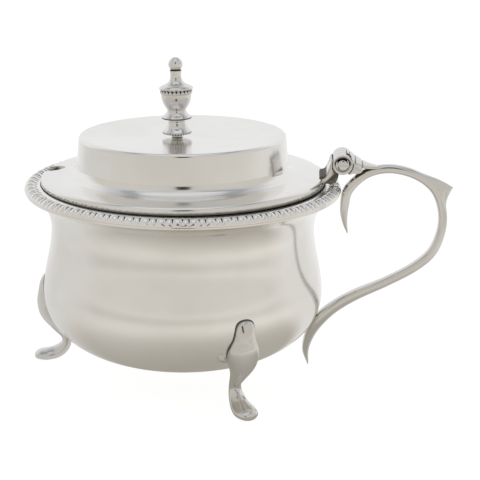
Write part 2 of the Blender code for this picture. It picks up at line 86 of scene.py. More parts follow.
SHEET = 0.8 * MM
BELLY_RADIUS = 35.1 * MM
NECK_RADIUS = 32.7 * MM
BELLY_HEIGHT = 21.2 * MM
NECK_HEIGHT = 37.8 * MM
BASE_FLAT_RADIUS = 11.9 * MM
BASE_FULLNESS = 2.15
LEDGE_INNER_RADIUS = 34.0 * MM
STRIP_RADIUS = 36.0 * MM
GADROON_RADIUS = 1.55 * MM
LOBE_PAIRS = 66
DRUM_RADIUS = 25.4 * MM
DRUM_FOOT_RADIUS = 26.0 * MM
FLANGE_INNER_RADIUS = 28.8 * MM
NOTCH_ANGLE = math.radians(177)
NOTCH_HALF_WIDTH = 2.6 * MM
NOTCH_DEPTH = 5.0 * MM
FINIAL_OFFSET = -1.25 * MM
FINIAL_LEAN = math.radians(-0.8)
GIRDLE_BEADS = 24
HEM_BEADS = 34
BARREL_RADIUS = 2.4 * MM
BARREL_LENGTH = 10.0 * MM
EYE = PIVOT + Vector((1.4, -3.0, 2.1)) * MM
HANDLE_RADIUS = 1.15 * MM
HANDLE_WIDTH_RATIO = 1.25
THORN_TIP = (62.15 * MM, 46.7 * MM)
LEG_ANGLES = {"leg_front": -60, "leg_left": 180, "leg_back": 60}
ROUND_STEPS = 192

# Camera; SHIFT is in parts of the picture's width
CAMERA_AZIMUTH = math.radians(6.135)
CAMERA_ELEVATION = math.radians(16.351)
CAMERA_DISTANCE = 300.0 * MM
AIM_HEIGHT = 33.3 * MM
LENS = 89.45
SHIFT = 0.1191

# The studio that the silver mirrors: each tone is a grey and how warm it is
ROOM_FRONT = (0.63, 0.035)
ROOM_BACK = (0.88, -0.005)
CEILING = (0.6, -0.02)
CEILING_BEAM = (0.4, -0.02)
CAMERA_GAP = (0.02, 0.1)
TABLE_HALF_SIZE = 4.0
# Painted shade and light on the table as the silver mirrors it: a shadow at the pot's foot, lighter beside
# and behind
TABLE_FOOT_SHADOW = (0.34, 0.06)
TABLE_BESIDE = (0.66, 0.015)
TABLE_BEHIND = (0.84, 0.0)

# Painted shadow at the pot's foot, lifting in rings on the table in front of the pot: where the change of
# tone starts and ends, and the new tone
TABLE_SHADOW_RINGS = (
    (20.0 * MM, 110.0 * MM, (0.64, 0.04)),
    (120.0 * MM, 230.0 * MM, (0.52, 0.04)),
    (240.0 * MM, 600.0 * MM, ROOM_FRONT),
)


# ---- camera, floor and light


def direction(azimuth, elevation):
    """A unit vector; azimuth 0 is towards -Y and elevation is above the horizon, in radians."""
    level = math.cos(elevation)
    return Vector((math.sin(azimuth) * level, -math.cos(azimuth) * level, math.sin(elevation)))


def add_object(name, data):
    thing = bpy.data.objects.new(name, data)
    bpy.context.scene.collection.objects.link(thing)
    return thing


def look_back(thing, target, away, distance):
    """Stands a camera or a light at a distance from its target and turns it to the target."""
    thing.location = target + away * distance
    thing.rotation_mode = "QUATERNION"
    thing.rotation_quaternion = (-away).to_track_quat("-Z", "Y")


def add_camera():
    data = bpy.data.cameras.new("camera")
    data.lens = LENS
    data.shift_x = SHIFT
    data.clip_start = 10.0 * MM
    camera = add_object("camera", data)
    target = AXIS + Vector((0.0, 0.0, AIM_HEIGHT))
    look_back(camera, target, direction(CAMERA_AZIMUTH, CAMERA_ELEVATION), CAMERA_DISTANCE)
    bpy.context.scene.camera = camera


def node(tree, kind, inputs=None, **settings):
    """Adds a shader node; each input is a value or the socket that feeds it."""
    made = tree.nodes.new(kind)
    for key, value in settings.items():
        setattr(made, key, value)
    for key, value in (inputs or {}).items():
        if isinstance(value, bpy.types.NodeSocket):
            tree.links.new(value, made.inputs[key])
        else:
            made.inputs[key].default_value = value
    return made


def smooth_step(tree, value, start, end):
    """0 below start, 1 above end, smooth between."""
    inputs = {"Value": value, "From Min": start, "From Max": end}
    return node(tree, "ShaderNodeMapRange", inputs, interpolation_type="SMOOTHSTEP").outputs[0]


def spread(tree, value, low, high):
    """A 0 to 1 value stretched to a range."""
    inputs = {"Value": value, "To Min": low, "To Max": high}
    return node(tree, "ShaderNodeMapRange", inputs).outputs[0]


def product(tree, first, second):
    return node(tree, "ShaderNodeMath", {0: first, 1: second}, operation="MULTIPLY").outputs[0]


def band(tree, value, rise, fall):
    """1 between the edges of a band, 0 outside; each edge is given as its 0 end and its 1 end."""
    return product(tree, smooth_step(tree, value, *rise), smooth_step(tree, value, *fall))


def vector_math(tree, operation, first, second=(0.0, 0.0, 0.0)):
    made = node(tree, "ShaderNodeVectorMath", {0: first, 1: second}, operation=operation)
    return made.outputs["Value" if operation in ("LENGTH", "DOT_PRODUCT") else "Vector"]


def toward_camera(tree, level):
    """1 for a level direction that points to the camera's side, -1 for one that points away."""
    return vector_math(tree, "DOT_PRODUCT", level, direction(CAMERA_AZIMUTH, 0.0))


def mix_colours(tree, factor, first, second, blend="MIX"):
    inputs = {0: factor, 6: first, 7: second}
    return node(tree, "ShaderNodeMix", inputs, data_type="RGBA", blend_type=blend).outputs[2]


def noise(tree, coordinates, scale, detail=2.0, roughness=0.5):
    inputs = {"Vector": coordinates, "Scale": scale, "Detail": detail, "Roughness": roughness}
    return node(tree, "ShaderNodeTexNoise", inputs).outputs[0]


def grey(value, warmth=0.0):
    """A grey that leans to yellow with positive warmth and to blue with negative."""
    return (value * (1.0 + warmth), value, value * (1.0 - 2.0 * warmth), 1.0)


def glowing(tree, shade, colour, strength=1.0):
    """A dull grey surface that also glows in a colour."""
    dull = node(tree, "ShaderNodeBsdfDiffuse", {"Color": grey(shade)}).outputs[0]
    glow = node(tree, "ShaderNodeEmission", {"Color": colour, "Strength": strength}).outputs[0]
    return node(tree, "ShaderNodeAddShader", {0: dull, 1: glow}).outputs[0]


def split_by_ray(tree, mirrored, seen):
    """Shows one shader to the camera and the other to everything that mirrors it."""
    from_camera = node(tree, "ShaderNodeLightPath").outputs["Is Camera Ray"]
    return node(tree, "ShaderNodeMixShader", {0: from_camera, 1: mirrored, 2: seen}).outputs[0]


def new_material(name):
    """A material without nodes, its node tree and the place on the surface."""
    material = bpy.data.materials.new(name)
    material.use_nodes = True
    tree = material.node_tree
    tree.nodes.clear()
    return material, tree, node(tree, "ShaderNodeTexCoord").outputs["Object"]


def add_world():
    """A room: warm grey in front, white behind, cool grey above and dark where the camera would stand."""
    world = bpy.data.worlds.new("studio")
    bpy.context.scene.world = world
    world.use_nodes = True
    tree = world.node_tree
    tree.nodes.clear()
    ray = node(tree, "ShaderNodeTexCoord").outputs["Generated"]
    height = node(tree, "ShaderNodeSeparateXYZ", {0: ray}).outputs[2]
    level = vector_math(tree, "NORMALIZE", vector_math(tree, "MULTIPLY", ray, (1.0, 1.0, 0.0)))
    front = toward_camera(tree, level)

    # Heights are sines of the elevation, and front is the cosine of the angle off the camera's side
    room = mix_colours(tree, smooth_step(tree, front, -0.6, -0.2), grey(*ROOM_BACK), grey(*ROOM_FRONT))
    ceiling = smooth_step(tree, height, 0.55, 0.8)
    room = mix_colours(tree, ceiling, room, grey(*CEILING))
    beam = band(tree, height, (0.8, 0.84), (0.93, 0.9))
    room = mix_colours(tree, beam, room, grey(*CEILING_BEAM))
    gap = band(tree, height, (0.18, 0.22), (0.75, 0.6))
    gap = product(tree, gap, smooth_step(tree, front, 0.988, 0.994))
    room = mix_colours(tree, gap, room, grey(*CAMERA_GAP))

    lit = node(tree, "ShaderNodeBackground", {"Color": room, "Strength": 1.0}).outputs[0]
    white = node(tree, "ShaderNodeBackground", {"Color": grey(1.0), "Strength": 1.0}).outputs[0]
    node(tree, "ShaderNodeOutputWorld", {0: split_by_ray(tree, lit, white)})


def add_floor():
    """A wide white table that looks a warm grey in the silver in front of the pot; what the silver mirrors of
    it glows, with a painted shadow at the pot's foot and painted light beside and behind it.
    """
    material, tree, place_in = new_material("table")
    mottle = spread(tree, noise(tree, place_in, scale=14.0), 0.94, 1.08)
    away = vector_math(tree, "LENGTH", place_in)
    toward = vector_math(tree, "NORMALIZE", place_in)
    front = toward_camera(tree, toward)
    rightward = node(tree, "ShaderNodeSeparateXYZ", {0: toward}).outputs[0]
    lean = node(tree, "ShaderNodeMapRange", {
        "Value": rightward, "From Min": -1.0, "To Min": 0.93, "To Max": 1.06,
    }).outputs[0]
    # Painted shadow, darkest at the pot's foot and lifting in rings; then painted lighter beside and behind
    # the pot, and a little lighter towards +X
    colour = grey(*TABLE_FOOT_SHADOW)
    for start, end, tone in TABLE_SHADOW_RINGS:
        colour = mix_colours(tree, smooth_step(tree, away, start, end), colour, grey(*tone))
    colour = mix_colours(tree, smooth_step(tree, front, 0.45, -0.15), colour, grey(*TABLE_BESIDE))
    colour = mix_colours(tree, smooth_step(tree, front, -0.45, -1.0), colour, grey(*TABLE_BEHIND))
    colour = mix_colours(tree, 1.0, colour, product(tree, mottle, lean), "MULTIPLY")
    mirrored = glowing(tree, 0.1, colour)
    seen = glowing(tree, 0.2, grey(1.0), strength=0.92)
    node(tree, "ShaderNodeOutputMaterial", {0: split_by_ray(tree, mirrored, seen)})
    work = bmesh.new()
    bmesh.ops.create_grid(work, x_segments=1, y_segments=1, size=TABLE_HALF_SIZE)
    mesh = bpy.data.meshes.new("table")
    work.to_mesh(mesh)
    work.free()
    mesh.materials.append(material)
    floor = add_object("table", mesh)


def add_softbox(name, azimuth, elevation, distance, size, power):
    """A rectangular light that faces the pot; its angles are in degrees and its size is in metres."""
    data = bpy.data.lights.new(name, "AREA")
    data.shape = "RECTANGLE"
    data.size, data.size_y = size
    data.energy = power
    away = direction(math.radians(azimuth), math.radians(elevation))
    look_back(add_object(name, data), AXIS, away, distance)


# ---- mesh helpers


def arc(centre_x, centre_z, radius_x, radius_z, start, end, count):
    """Points along an elliptical arc, angles in degrees."""
    points = []
    for index in range(count + 1):
        angle = math.radians(start + (end - start) * index / count)
        points.append((centre_x + radius_x * math.cos(angle), centre_z + radius_z * math.sin(angle)))
    return points


def ring_angles(sides):
    return np.arange(sides) * TURN / sides


def squared_circle(angles, power):
    """Cosine and sine of each angle, pushed out towards a square by a power below 1."""
    circle = np.stack([np.cos(angles), np.sin(angles)])
    return np.sign(circle) * np.abs(circle) ** power


def smooth_path(points, spans):
    """A Catmull-Rom curve through points of any number of values, with spans steps between each two."""
    knots = np.array(points, float)
    knots = np.vstack([2.0 * knots[0] - knots[1], knots, 2.0 * knots[-1] - knots[-2]])
    path = []
    for index in range(1, len(knots) - 2):
        before, start, end, after = knots[index - 1:index + 3]
        for step in range(spans):
            t = step / spans
            path.append(
                start
                + 0.5 * t * (end - before)
                + t * t * (before - 2.5 * start + 2.0 * end - 0.5 * after)
                + t * t * t * (1.5 * start - 0.5 * before - 1.5 * end + 0.5 * after)
            )
    path.append(knots[-2])
    return np.array(path)


def offset_path(points, distance):
    """The same path moved to its left by distance, which makes the other side of a sheet."""
    path = np.array(points, float)
    run = np.gradient(path, axis=0)
    length = np.linalg.norm(run, axis=1, keepdims=True)
    left = np.stack([-run[:, 1], run[:, 0]], axis=1) / np.maximum(length, 1e-12)
    return path + left * distance


def grid_faces(rows, columns, closed):
    """Quads over rings of vertices numbered ring by ring; closed joins the last ring to the first."""
    row = np.arange(rows if closed else rows - 1)
    row, column = np.meshgrid(row, np.arange(columns), indexing="ij")
    below = (row + 1) % rows
    right = (column + 1) % columns
    here = row * columns
    there = below * columns
    corners = [here + column, here + right, there + right, there + column]
    return np.stack(corners, axis=-1).reshape(-1, 4).tolist()


def finish_mesh(name, work, material, sharp=40.0):
    """A smooth-shaded object with its faces pointing out; edges bent by over sharp degrees stay creased."""
    bmesh.ops.recalc_face_normals(work, faces=work.faces)
    mesh = bpy.data.meshes.new(name)
    work.to_mesh(mesh)
    work.free()
    mesh.shade_smooth()
    mesh.set_sharp_from_angle(angle=math.radians(sharp))
    mesh.materials.append(material)
    return add_object(name, mesh)


def lofted(name, rings, material, sharp=40.0):
    """A solid through rings of points, with a flat face over its first and its last ring."""
    rings = np.array(rings, float)
    rows, columns = rings.shape[:2]
    work = bmesh.new()
    verts = [work.verts.new(point) for point in rings.reshape(-1, 3).tolist()]
    for face in grid_faces(rows, columns, closed=False):
        work.faces.new([verts[index] for index in face])
    work.faces.new(verts[:columns])
    work.faces.new(verts[-columns:])
    return finish_mesh(name, work, material, sharp)


def turned(name, profile, material, steps=ROUND_STEPS, shape=None, sharp=40.0):
    """A solid of revolution: a closed loop, or a chain from the axis back to the axis.

    shape, if given, takes the radii, heights and angles of all points and returns new radii and heights.
    """
    profile = np.array(profile, float)
    on_axis = profile[0, 0] < 1e-7 and profile[-1, 0] < 1e-7
    chain = profile[1:-1] if on_axis else profile
    angles = ring_angles(steps)
    radii = np.repeat(chain[:, :1], steps, axis=1)
    heights = np.repeat(chain[:, 1:2], steps, axis=1)
    if shape is not None:
        radii, heights = shape(radii, heights, angles)
    grid = np.stack([radii * np.cos(angles), radii * np.sin(angles), heights], axis=-1)
    work = bmesh.new()
    verts = [work.verts.new(point) for point in grid.reshape(-1, 3).tolist()]
    for face in grid_faces(len(chain), steps, closed=not on_axis):
        work.faces.new([verts[index] for index in face])
    if on_axis:
        for ring, height in ((verts[:steps], profile[0, 1]), (verts[-steps:], profile[-1, 1])):
            pole = work.verts.new((0.0, 0.0, height))
            for index in range(steps):
                work.faces.new((pole, ring[index], ring[(index + 1) % steps]))
    return finish_mesh(name, work, material, sharp)


def extruded(name, outline, half_width, material, bevel):
    """A plate with rounded edges; its outline lies in the XZ plane and its thickness runs along Y."""
    work = bmesh.new()
    near = [work.verts.new((x, -half_width, z)) for x, z in outline]
    far = [work.verts.new((x, half_width, z)) for x, z in outline]
    work.faces.new(near)
    work.faces.new(list(reversed(far)))
    for index in range(len(near)):
        after = (index + 1) % len(near)
        work.faces.new((near[after], near[index], far[index], far[after]))
    bmesh.ops.recalc_face_normals(work, faces=work.faces)
    edges = [edge for edge in work.edges if edge.calc_face_angle(0.0) > math.radians(40)]
    bmesh.ops.bevel(
        work, geom=edges, offset=bevel, segments=3, profile=0.5, affect="EDGES", clamp_overlap=True,
    )
    return finish_mesh(name, work, material)


def pillowed(name, fixed, moving, half_width, rounding, material):
    """A plate like extruded, but the moving part of its outline rounds over towards both of its faces."""
    rings = []
    steps = 7
    moving = np.array(moving)
    quarter = [math.radians(90.0 * index / steps) for index in range(steps + 1)]
    for side, angles in ((-1.0, quarter), (1.0, quarter[::-1])):
        for angle in angles:
            inset = rounding * (1.0 - math.sin(angle))
            y = side * (half_width - rounding * (1.0 - math.cos(angle)))
            outline = np.vstack([np.array(fixed), offset_path(moving, inset)])
            rings.append([(x, y, z) for x, z in outline])
    return lofted(name, rings, material, sharp=50.0)


def move(thing, matrix):
    """Moves a piece's mesh and leaves its origin where it is."""
    thing.data.transform(matrix)
    return thing


def cut(thing, tool):
    """Cuts a tool out of a piece for good and removes the tool."""
    modifier = thing.modifiers.new("cut", "BOOLEAN")
    modifier.solver = "EXACT"
    modifier.object = tool
    bpy.context.view_layer.update()
    evaluated = thing.evaluated_get(bpy.context.evaluated_depsgraph_get())
    mesh = bpy.data.meshes.new_from_object(evaluated)
    thing.modifiers.clear()
    thing.data = mesh
    mesh.shade_smooth()
    mesh.set_sharp_from_angle(angle=math.radians(35))
    bpy.data.objects.remove(tool, do_unlink=True)
    return thing


def vertex_rows(mesh, key):
    """The place ("co") or the normal ("normal") of each vertex."""
    values = np.zeros(len(mesh.vertices) * 3)
    mesh.vertices.foreach_get(key, values)
    return values.reshape(-1, 3)


def mark_tarnish_and_shade(mesh, reach, darkening):
    """Stores how concave the surface is at each vertex, 0 to 1, as the attribute that the dark brown film
    reads: patina in the hollows and painted shade.

    The function given last, if any, takes the vertices' places and normals and tells where the film lies
    regardless of shape; most pieces give one that lays painted shade under parts and in gaps.
    """
    count = len(mesh.vertices)
    places = vertex_rows(mesh, "co")
    normals = vertex_rows(mesh, "normal")
    edges = np.zeros(len(mesh.edges) * 2, int)
    mesh.edges.foreach_get("vertices", edges)
    first, second = edges.reshape(-1, 2).T
    run = places[second] - places[first]
    square = np.maximum((run * run).sum(1), 1e-12)
    near = np.bincount(first, minlength=count) + np.bincount(second, minlength=count)
    near = np.maximum(near, 1)
    bend = np.bincount(first, 2.0 * (run * normals[first]).sum(1) / square, count)
    bend -= np.bincount(second, 2.0 * (run * normals[second]).sum(1) / square, count)
    tarnish_and_shade_mask = np.clip(bend / near * reach, 0.0, 1.0)
    for _ in range(2):
        around = np.bincount(first, tarnish_and_shade_mask[second], count) + np.bincount(second, tarnish_and_shade_mask[first], count)
        tarnish_and_shade_mask = 0.5 * tarnish_and_shade_mask + 0.5 * around / near
    if darkening is not None:
        tarnish_and_shade_mask = np.maximum(tarnish_and_shade_mask, darkening(places, normals))
    attribute = mesh.attributes.new("tarnish_and_shade_mask", "FLOAT", "POINT")
    attribute.data.foreach_set("value", np.clip(tarnish_and_shade_mask, 0.0, 1.0).astype(np.float32))


def on_undersides(places, normals):
    """Painted shade on everything that looks down."""
    return np.clip(-2.5 * normals[:, 2] - 0.5, 0.0, 1.0)


def against_belly(places, normals):
    """Painted shade and painted reflection: a dark band along the seam where a casting that is soldered on
    the belly meets it.
    """
    heights, radii = np.array(belly_path())[::-1, ::-1].T
    belly = np.interp(places[:, 2], heights, radii)
    clear = np.hypot(places[:, 0], places[:, 1]) - belly
    return np.clip(1.2 - clear / (0.7 * MM), 0.0, 1.0)


BODY_OF = {
    name: body for body, names in frame["record"]["behaviour"]["bodies"].items() for name in names
}


def place(thing, cad_node, reach=0.35 * MM, darkening=None, slant=None):
    """Marks a finished piece's hollows and painted shade, moves it to the pot's axis and lets it stand for
    its CAD node.
    """
    mark_tarnish_and_shade(thing.data, reach, darkening)
    if slant is not None:
        move(thing, slant)
    move(thing, Matrix.Translation(AXIS))
    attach(thing, BODY_OF[cad_node])
    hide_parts(cad_node)
    return thing


# ---- materials


def stretched(tree, coordinates, scale):
    return node(tree, "ShaderNodeMapping", {"Vector": coordinates, "Scale": scale}).outputs[0]


def bump(tree, height, distance, more=None):
    """The normal of a surface that height raises by up to distance."""
    inputs = {"Height": height, "Distance": distance, "Strength": 1.0, **(more or {})}
    return node(tree, "ShaderNodeBump", inputs).outputs[0]


def silver(name, roughness, tone=1.0, hammering=0.012 * MM, tarnish_and_shade=0.8):
    """Polished sterling: a soft bloom of colour, polishing hairlines and a dull brown film of patina in the
    hollows and painted shade under parts and in gaps.

    roughness is its lowest and highest value over the surface.
    """
    material, tree, place_in = new_material(name)
    bloom = smooth_step(tree, noise(tree, place_in, scale=55.0, detail=3.0, roughness=0.55), 0.3, 0.7)
    base = mix_colours(tree, bloom, grey(0.86 * tone, 0.02), grey(0.92 * tone, 0.012))
    lines = stretched(tree, place_in, (60.0, 60.0, 1500.0))
    hairlines = noise(tree, lines, scale=1.0, detail=3.0, roughness=0.6)
    tarnish_and_shade_mask = node(tree, "ShaderNodeAttribute", attribute_name="tarnish_and_shade_mask").outputs["Fac"]
    patchy = spread(tree, noise(tree, place_in, scale=700.0), 0.6, 1.2)
    # The dark brown film: patina in the hollows, and painted shade under parts and in gaps
    dark = product(tree, smooth_step(tree, product(tree, tarnish_and_shade_mask, patchy), 0.12, 0.75), tarnish_and_shade)
    base = mix_colours(tree, dark, base, grey(0.035, 0.25))
    polish = spread(tree, noise(tree, place_in, scale=160.0, detail=4.0, roughness=0.6), *roughness)
    dulled = product(tree, dark, 0.45)
    rough = node(tree, "ShaderNodeMath", {0: polish, 1: dulled}, operation="ADD").outputs[0]
    hammered = bump(tree, noise(tree, place_in, scale=75.0, roughness=0.4), hammering)
    scratched = bump(tree, hairlines, 0.0006 * MM, {"Normal": hammered})
    shader = node(tree, "ShaderNodeBsdfPrincipled", {
        "Base Color": base,
        "Metallic": spread(tree, dark, 1.0, 0.1),
        "Roughness": rough,
        "Specular IOR Level": 0.2,
        "Normal": scratched,
    })
    node(tree, "ShaderNodeOutputMaterial", {0: shader.outputs[0]})
    return material


def brass(name):
    """Turned brass with fine tool lines and dull patches."""
    material, tree, place_in = new_material(name)
    dull = smooth_step(tree, noise(tree, place_in, scale=420.0, detail=4.0), 0.35, 0.7)
    base = mix_colours(tree, dull, (0.78, 0.57, 0.27, 1.0), (0.52, 0.36, 0.17, 1.0))
    cuts = noise(tree, stretched(tree, place_in, (200.0, 200.0, 6000.0)), scale=1.0)
    shader = node(tree, "ShaderNodeBsdfPrincipled", {
        "Base Color": base,
        "Metallic": 1.0,
        "Roughness": spread(tree, dull, 0.18, 0.42),
        "Normal": bump(tree, cuts, 0.004 * MM),
    })
    node(tree, "ShaderNodeOutputMaterial", {0: shader.outputs[0]})
    return material


def cobalt_glass(name):
    """Deep blue glass, slightly uneven as blown glass is."""
    material, tree, place_in = new_material(name)
    uneven = noise(tree, stretched(tree, place_in, (60.0, 60.0, 180.0)), scale=1.0, detail=3.0)
    base = mix_colours(tree, uneven, (0.012, 0.05, 0.55, 1.0), (0.03, 0.12, 0.8, 1.0))
    shader = node(tree, "ShaderNodeBsdfPrincipled", {
        "Base Color": base,
        "Metallic": 0.0,
        "Roughness": spread(tree, noise(tree, place_in, scale=300.0), 0.01, 0.06),
        "IOR": 1.52,
        "Transmission Weight": 1.0,
        "Normal": bump(tree, uneven, 0.02 * MM),
    })
    node(tree, "ShaderNodeOutputMaterial", {0: shader.outputs[0]})
    return material


# ---- pot, rim and liner


def belly_path():
    """The pot's outer side from under the lip down to the centre of its base."""
    flare_height = LIP_HEIGHT - SHEET - NECK_HEIGHT
    path = arc(LIP_RADIUS, NECK_HEIGHT, LIP_RADIUS - NECK_RADIUS, flare_height, 90, 180, 28)
    shoulder_steps = 28
    for index in range(1, shoulder_steps + 1):
        part = index / shoulder_steps
        blend = part * part * (3.0 - 2.0 * part)
        radius = NECK_RADIUS + (BELLY_RADIUS - NECK_RADIUS) * blend
        path.append((radius, NECK_HEIGHT + (BELLY_HEIGHT - NECK_HEIGHT) * part))
    base_steps = 48
    for index in range(1, base_steps + 1):
        angle = math.radians(90.0 * index / base_steps)
        across = max(math.cos(angle), 0.0) ** (2.0 / BASE_FULLNESS)
        down = math.sin(angle) ** (2.0 / BASE_FULLNESS)
        radius = BASE_FLAT_RADIUS + (BELLY_RADIUS - BASE_FLAT_RADIUS) * across
        path.append((radius, BELLY_HEIGHT - (BELLY_HEIGHT - BASE_HEIGHT) * down))
    return path + [(BASE_FLAT_RADIUS / 2.0, BASE_HEIGHT), (0.0, BASE_HEIGHT)]


def build_pot():
    """The bowl of sheet with a rounded lip."""
    outer = np.array(belly_path())
    inner = offset_path(outer, -SHEET)
    inner[-1, 0] = 0.0
    outer = outer[::-1]
    edge = arc(LIP_RADIUS - SHEET / 2.0, LIP_HEIGHT - SHEET / 2.0, SHEET / 2.0, SHEET / 2.0, -60, 60, 6)
    profile = np.vstack([outer[:-1], edge, inner[1:]])
    return place(turned("pot_body_fine", profile, BODY_SILVER), "pot_body")


def lobe_height(phase):
    """Alternating wide and narrow lobes, round on top with sharp valleys; phase counts pairs."""
    wide_share = 0.6
    part = phase % 1.0
    wide = part < wide_share
    across = np.where(wide, part / wide_share, (part - wide_share) / (1.0 - wide_share)) * 2.0 - 1.0
    crown = np.sqrt(np.clip(1.0 - across * across, 0.0, 1.0))
    return np.where(wide, crown, 0.82 * crown)


def rim_path():
    """The rim mount's section from its inner foot, over the strip and the gadroon, to its outer foot."""
    strip = [
        (LEDGE_INNER_RADIUS, LIP_HEIGHT),
        (LEDGE_INNER_RADIUS, LEDGE_HEIGHT - 0.1 * MM),
        (LEDGE_INNER_RADIUS + 0.1 * MM, LEDGE_HEIGHT),
        (LID_RADIUS, LEDGE_HEIGHT),
        (LID_RADIUS + 0.3 * MM, LEDGE_HEIGHT - 0.05 * MM),
        (STRIP_RADIUS - 0.35 * MM, LEDGE_HEIGHT - 0.15 * MM),
        (STRIP_RADIUS - 0.1 * MM, LEDGE_HEIGHT - 0.3 * MM),
    ]
    crown_radius = RIM_RADIUS - GADROON_RADIUS
    crown_height = RIM_TOP_HEIGHT - GADROON_RADIUS
    crown = arc(crown_radius, crown_height, GADROON_RADIUS, GADROON_RADIUS, 148, 0, 26)
    return strip, crown, [(RIM_RADIUS, LIP_HEIGHT)]


def build_rim():
    """The gadrooned border."""
    strip, crown, foot = rim_path()
    first, last = len(strip), len(strip) + len(crown)
    profile = np.array(strip + crown + foot)
    normals = offset_path(profile, 1.0) - profile
    valley_depth = 0.6 * MM

    def gadroon(radii, heights, angles):
        """Sinks the valleys between the lobes, fading out at both edges of the crown."""
        part = np.linspace(0.0, 1.0, last - first)[:, None]
        fade = np.clip(part * 9.0, 0.0, 1.0) * np.clip((0.97 - part) * 4.0, 0.0, 1.0)
        lobes = lobe_height(angles[None, :] * LOBE_PAIRS / TURN)
        sink = valley_depth * fade * (lobes - 1.0)
        radii[first:last] += normals[first:last, :1] * sink
        heights[first:last] += normals[first:last, 1:] * sink
        return radii, heights

    def dark_under_lid_and_valleys(places, normals):
        """Black under the lid, a painted shade; and brown in the inner ends of the valleys between the lobes.
        """
        radius = np.hypot(places[:, 0], places[:, 1])
        under_lid = (radius < LID_RADIUS + 0.1 * MM) & (places[:, 2] > LIP_HEIGHT)
        lobes = lobe_height(np.arctan2(places[:, 1], places[:, 0]) * LOBE_PAIRS / TURN)
        inner_end = np.clip((STRIP_RADIUS + 2.6 * MM - radius) / MM, 0.0, 1.0)
        inner_end *= radius > STRIP_RADIUS - 0.1 * MM
        return np.where(under_lid, 1.0, inner_end * np.clip(1.6 - 1.9 * lobes, 0.0, 1.0))

    rim = turned("rim_mount_fine", profile, RIM_SILVER, steps=LOBE_PAIRS * 24, shape=gadroon, sharp=70.0)
    return place(rim, "rim_mount", reach=0.12 * MM, darkening=dark_under_lid_and_valleys)


def build_liner():
    """A blown glass cup with a rolled lip."""
    wall = 1.8 * MM
    low, high, half = node_size("glass_liner")
    lip = half.y
    side = lip - 2.2 * MM
    corner = 15.0 * MM
    foot = 12.0 * MM
    outside = [(0.0, low.z), (foot * 0.6, low.z)]
    outside += arc(foot, low.z + corner, side - foot, corner, -90, 0, 24)
    flare = [(side, high.z - 6.0 * MM), (side + 0.3 * MM, high.z - 3.2 * MM), (lip, high.z - 0.9 * MM)]
    outside += [tuple(point) for point in smooth_path(flare, 5)]
    rolled = arc(lip - wall / 2.0, high.z - wall / 2.0, wall / 2.0, wall / 2.0, 0, 180, 10)
    inside = [(side - wall + 0.2 * MM, high.z - 3.6 * MM)]
    inside += arc(foot, low.z + corner, side - foot - wall, corner - wall, 0, -90, 24)
    inside += [(foot * 0.6, low.z + wall), (0.0, low.z + wall)]
    return place(turned("glass_liner_fine", outside + rolled + inside, GLASS), "glass_liner")


# ---- legs and handle


# Distance from the axis, height, half-width, half-depth (mm), travel (degrees), instep ridge (mm)
LEG_STATIONS = (
    (33.4, 24.0, 0.4, 0.3, -80, 0.0),
    (33.6, 23.6, 1.8, 1.3, -80, 0.0),
    (33.9, 22.6, 2.55, 2.2, -80, 0.0),
    (34.1, 21.0, 2.8, 2.8, -84, 0.0),
    (34.2, 18.8, 3.1, 3.2, -88, 0.0),
    (34.2, 16.0, 3.85, 3.6, -92, 0.0),
    (33.8, 12.8, 3.4, 3.25, -105, 0.0),
    (32.0, 9.2, 1.95, 2.1, -118, 0.0),
    (30.4, 6.0, 1.5, 1.15, -98, 0.1),
    (30.9, 3.7, 1.8, 1.35, -60, 0.25),
    (32.8, 2.0, 2.35, 1.5, -28, 0.3),
    (35.4, 1.25, 2.85, 1.45, -10, 0.2),
    (37.4, 1.1, 2.55, 1.25, -6, 0.05),
    (38.5, 1.0, 1.7, 0.9, 0, 0.0),
    (38.95, 1.0, 0.4, 0.3, 0, 0.0),
)


def build_leg(name, degrees):
    """A cast leg lofted through its stations, flat where its pad meets the table."""
    turn = ring_angles(48)
    thinnest = 0.05
    rings = []
    for reach, height, half_width, half_depth, travel, ridge in smooth_path(LEG_STATIONS, 7):
        angle = math.radians(travel + 90.0)
        across = np.array([math.cos(angle), 0.0, math.sin(angle)])
        keel = ridge * np.clip(np.cos(turn), 0.0, 1.0) ** 12
        out = (max(half_depth, thinnest) * np.cos(turn) + keel) * MM
        ring = np.array([reach, 0.0, height]) * MM + out[:, None] * across
        ring[:, 1] += max(half_width, thinnest) * MM * np.sin(turn)
        ring[:, 2] = np.maximum(ring[:, 2], 0.0)
        rings.append(ring)
    leg = lofted(name + "_fine", rings, CAST_SILVER)
    move(leg, Matrix.Rotation(math.radians(degrees), 4, "Z"))
    # Painted shade and reflection in the crease against the belly
    return place(leg, name, darkening=against_belly)


# The handle's centre line (x, z in mm) and its radius in parts of the full radius, top tail first
SCROLL_POINTS = (
    (40.9, 36.4, 0.12),
    (40.1, 39.6, 0.6),
    (39.9, 43.0, 0.95),
    (40.8, 47.6, 1.1),
    (45.0, 51.6, 1.0),
    (50.6, 52.9, 0.95),
    (56.6, 51.6, 0.95),
    (61.2, 48.4, 1.0),
    (63.4, 43.6, 0.95),
    (63.7, 38.2, 0.95),
    (61.8, 32.4, 1.0),
    (57.6, 28.2, 1.0),
    (51.0, 24.2, 1.0),
    (43.4, 20.4, 1.15),
    (38.0, 16.8, 1.25),
    (34.2, 12.9, 1.35),
    (32.3, 9.2, 1.1),
    (31.5, 5.4, 0.75),
    (32.2, 1.3, 0.12),
)


def thorn_height(distance):
    """How far the thorn stands out of the handle, at a distance along it from the thorn's tip."""
    full_height = 2.9 * MM
    rise_length = 7.5 * MM
    fall_length = 4.2 * MM
    rise = np.clip(1.0 + distance / rise_length, 0.0, 1.0) ** 2.1
    fall = np.clip(1.0 - distance / fall_length, 0.0, 1.0) ** 2.6
    return full_height * np.where(distance < 0.0, rise, fall)


